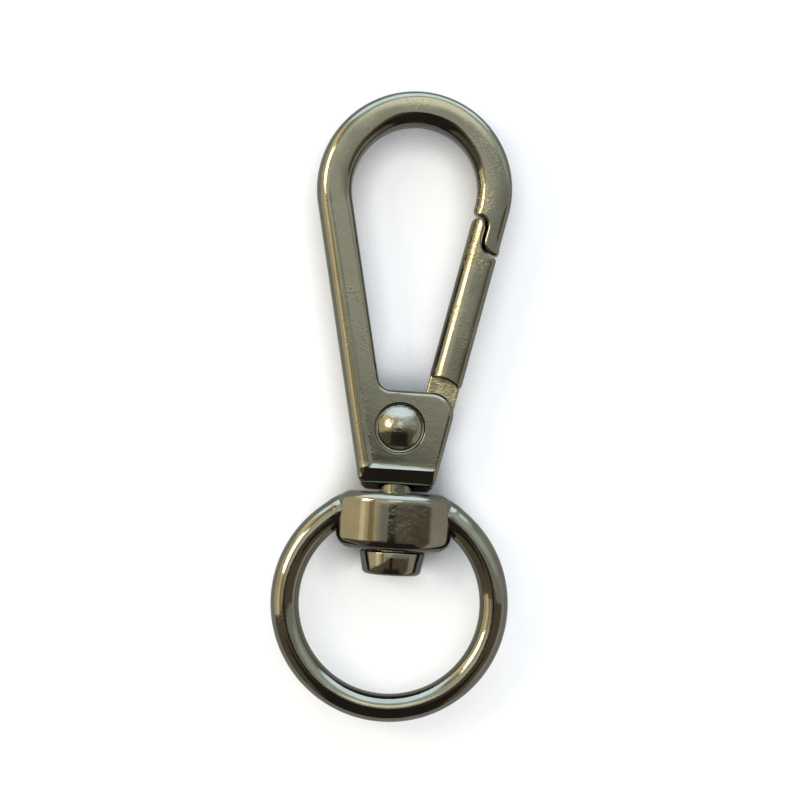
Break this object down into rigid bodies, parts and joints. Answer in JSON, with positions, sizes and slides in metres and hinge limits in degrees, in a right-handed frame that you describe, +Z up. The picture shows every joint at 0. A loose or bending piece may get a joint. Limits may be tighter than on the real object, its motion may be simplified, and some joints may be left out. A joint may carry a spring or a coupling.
{
  "type": "carabiner",
  "caption": "Swivel snap hook: teardrop loop closed by an inward-opening sprung gate on a domed rivet, with a round eye ring turning on a headed stud.",
  "frame": {"origin": "centre of the bounding box, at the level of the collar's lowest line, with the hook lying flat", "axes": "+Y along the hook from the eye ring to the loop, +Z up out of the front face with the domed rivet head, +X towards the gate"},
  "size_m": [0.0262, 0.0693, 0.0084],
  "materials": {
    "plated_zinc": "polished black nickel plating on zinc casting",
    "plated_steel": "polished black nickel plating on steel",
    "spring_wire": "drawn spring wire"
  },
  "bodies": {
    "hook": {"hook_body": "plated_zinc", "gate_rivet": "plated_steel", "gate_spring": "spring_wire", "swivel_stud": "plated_steel"},
    "gate": {"gate": "plated_zinc"},
    "eye": {"eye_ring": "plated_zinc"}
  },
  "joints": [
    {"name": "gate_pivot", "type": "hinge", "parent": "hook", "child": "gate", "pos_m": [0, -0.00225, 0.0042], "axis": [0, 0, 1], "range_deg": [0, 28], "stiffness_Nm_per_rad": 0.05, "springref_deg": -34.38, "deforming": ["gate_spring"]},
    {"name": "eye_swivel", "type": "hinge", "parent": "hook", "child": "eye", "pos_m": [0, -0.01249, 0.0042], "axis": [0, 1, 0], "continuous": true}
  ]
}
